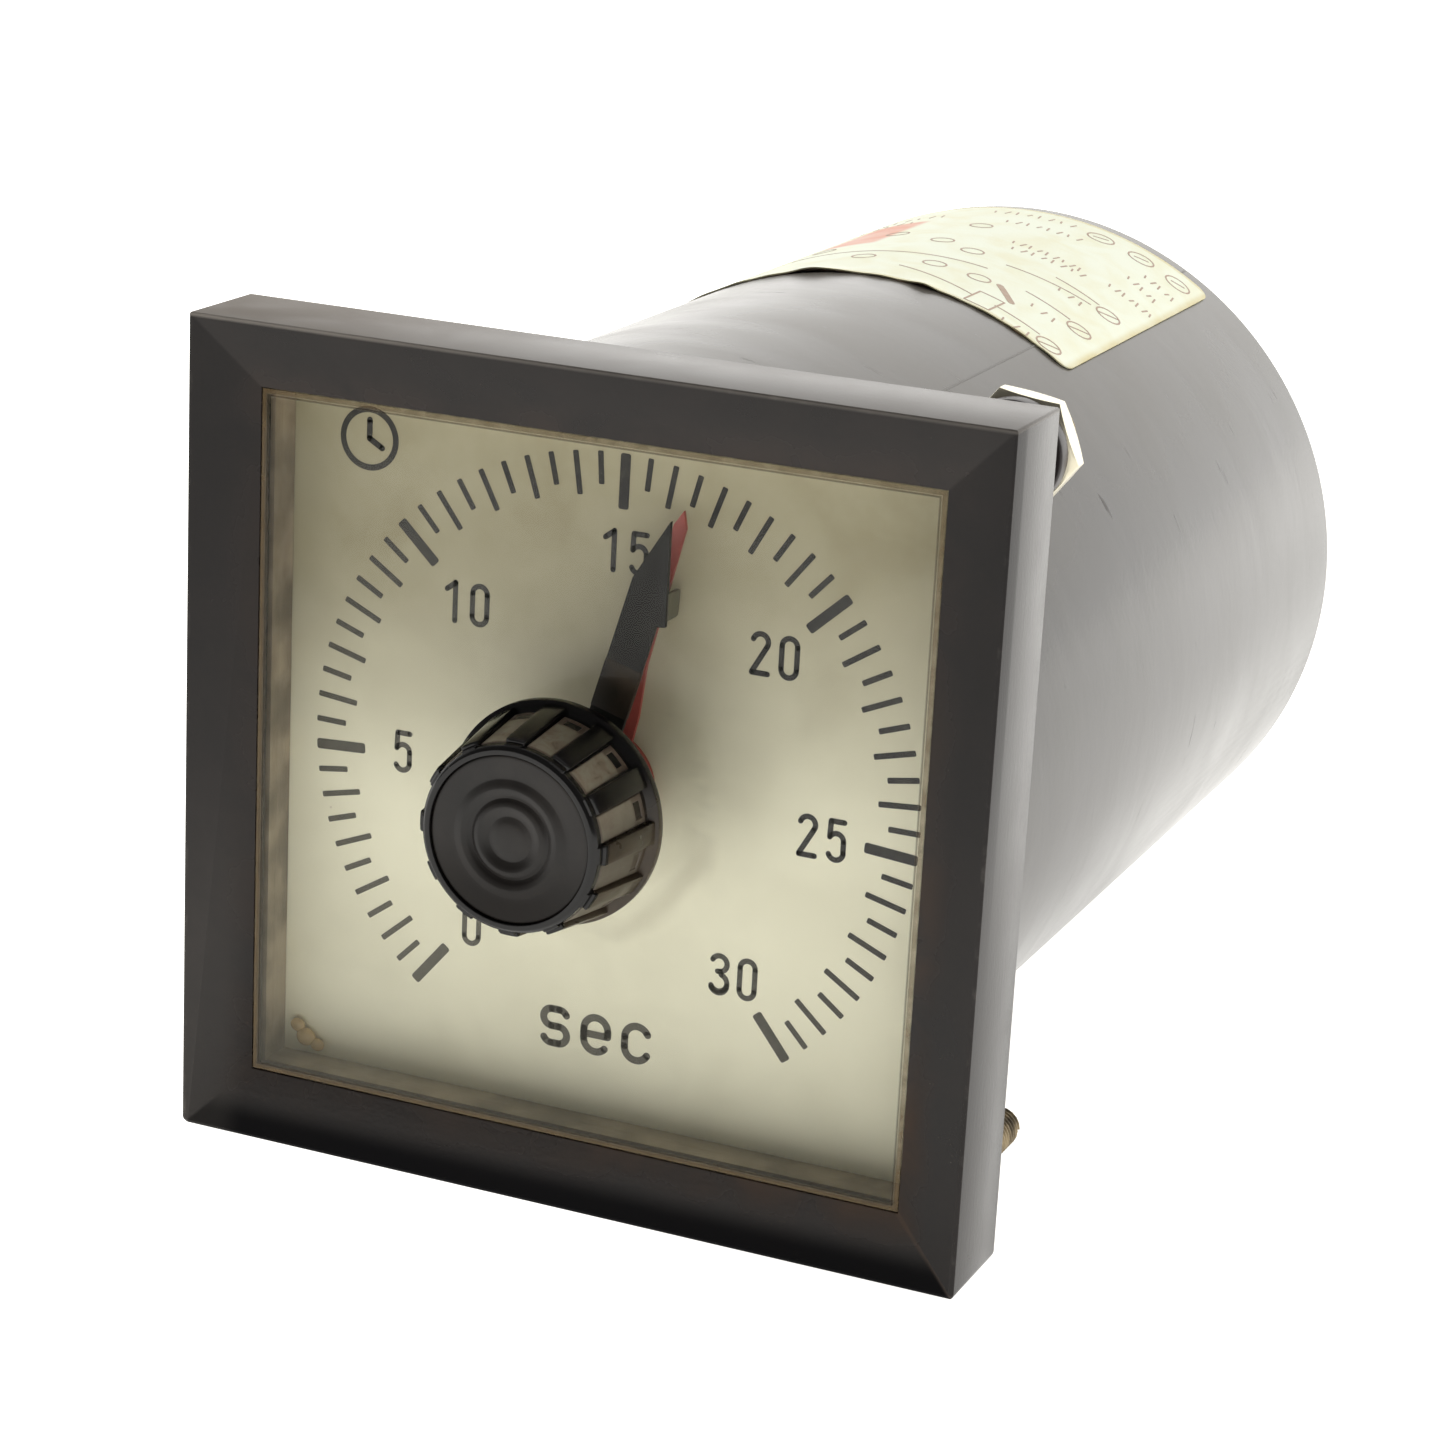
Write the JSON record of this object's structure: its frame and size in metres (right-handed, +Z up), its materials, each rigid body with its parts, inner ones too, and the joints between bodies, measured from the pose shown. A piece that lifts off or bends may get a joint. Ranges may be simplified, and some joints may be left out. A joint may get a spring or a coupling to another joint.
{
  "type": "panel timer",
  "caption": "Square panel-mounting process timer: ribbed setting knob over a windowed seconds dial with set and elapsed pointers, round dark can with side label, rear terminals.",
  "frame": {"origin": "bottom centre of the overall bounding box, directly under the instrument axis", "axes": "+Z up; the dial and knob face -Y and the round can runs back along +Y, which is the longest extent; +X is to the right when looking at the dial"},
  "size_m": [0.096, 0.1564, 0.096],
  "materials": {
    "bezel_plastic": "dark brown-black moulded plastic, satin",
    "window_plastic": "clear moulded plastic window, slightly hazy",
    "dial_enamel": "yellowish cream enamel, satin",
    "can_phenolic": "dark polished phenolic, scratched",
    "label_paper": "pale yellow varnished paper",
    "stud_brass": "threaded, dull",
    "disc_black": "black fibre and rubber disc",
    "nut_plated": "bright plated steel",
    "knob_black": "polished black plastic",
    "cap_black": "polished black plastic",
    "steel": "ground steel",
    "brass": "machined brass",
    "pointer_black": "satin black paint",
    "pointer_red": "satin red paint",
    "copper": "enamelled copper winding",
    "magnet_grey": "sintered magnet",
    "switch_plastic": "moulded, matt",
    "terminal_phenolic": "brown phenolic moulding",
    "spring_steel": "blued spring strip"
  },
  "bodies": {
    "casing": {"bezel": "bezel_plastic", "can": "can_phenolic", "clamp_disc_1": "disc_black", "clamp_disc_2": "disc_black", "clamp_nut_1": "nut_plated", "clamp_nut_2": "nut_plated", "dial": "dial_enamel", "front_plate": "steel", "label": "label_paper", "magnet_coil": "copper", "magnet_pot": "steel", "motor_case": "steel", "motor_coil": "copper", "motor_cover": "brass", "pillar_1": "brass", "pillar_2": "brass", "pillar_3": "brass", "pillar_4": "brass", "rear_nut_1": "nut_plated", "rear_nut_2": "nut_plated", "rear_plate": "steel", "stud_1": "stud_brass", "stud_2": "stud_brass", "stud_3": "stud_brass", "stud_4": "stud_brass", "switch_body": "switch_plastic", "terminal_base": "terminal_phenolic", "terminal_screw_1": "nut_plated", "terminal_screw_2": "nut_plated", "terminal_screw_3": "nut_plated", "terminal_screw_4": "nut_plated", "terminal_screw_5": "nut_plated", "terminal_screw_6": "nut_plated", "terminal_screw_7": "nut_plated", "terminal_screw_8": "nut_plated", "tie_rod_1": "steel", "tie_rod_2": "steel", "window": "window_plastic"},
    "setting": {"knob": "knob_black", "knob_cap": "cap_black", "knob_nut": "brass", "spindle": "steel", "set_pointer": "pointer_black", "set_cam": "brass", "return_spring": "spring_steel"},
    "elapsed": {"elapsed_pointer": "pointer_red", "elapsed_tube": "brass", "clutch_armature": "steel"},
    "clutch_drive": {"clutch_wheel": "brass"},
    "transfer": {"transfer_arbor": "steel", "transfer_pinion": "brass", "transfer_wheel": "brass"},
    "rotor_unit": {"rotor": "magnet_grey", "rotor_shaft": "steel", "motor_pinion": "steel"},
    "plunger": {"switch_plunger": "cap_black"}
  },
  "joints": [
    {"name": "set_time", "type": "hinge", "parent": "casing", "child": "setting", "pos_m": [0, -0.06375, 0.048], "axis": [0, 1, 0], "range_deg": [-154, 127]},
    {"name": "elapsed_run", "type": "hinge", "parent": "setting", "child": "elapsed", "pos_m": [0, -0.06375, 0.048], "axis": [0, 1, 0], "range_deg": [-154, 0]},
    {"name": "clutch_spin", "type": "hinge", "parent": "casing", "child": "clutch_drive", "pos_m": [0, -0.04175, 0.048], "axis": [0, 1, 0], "range_deg": [-160, 6]},
    {"name": "transfer_spin", "type": "hinge", "parent": "casing", "child": "transfer", "pos_m": [0, -0.04175, 0.0228], "axis": [0, 1, 0], "range_deg": [-36, 960]},
    {"name": "rotor_spin", "type": "hinge", "parent": "casing", "child": "rotor_unit", "pos_m": [0.009, -0.01175, 0.03839], "axis": [0, 1, 0], "range_deg": [-4800, 180]},
    {"name": "plunger_slide", "type": "slide", "parent": "casing", "child": "plunger", "axis": [0, 0, 1], "range_m": [0, 0.0008], "stiffness_N_per_m": 60}
  ],
  "couplings": [
    {"joint": "clutch_spin", "follows": "elapsed_run", "ratio": 1},
    {"joint": "transfer_spin", "follows": "elapsed_run", "ratio": -6},
    {"joint": "rotor_spin", "follows": "elapsed_run", "ratio": 30}
  ]
}
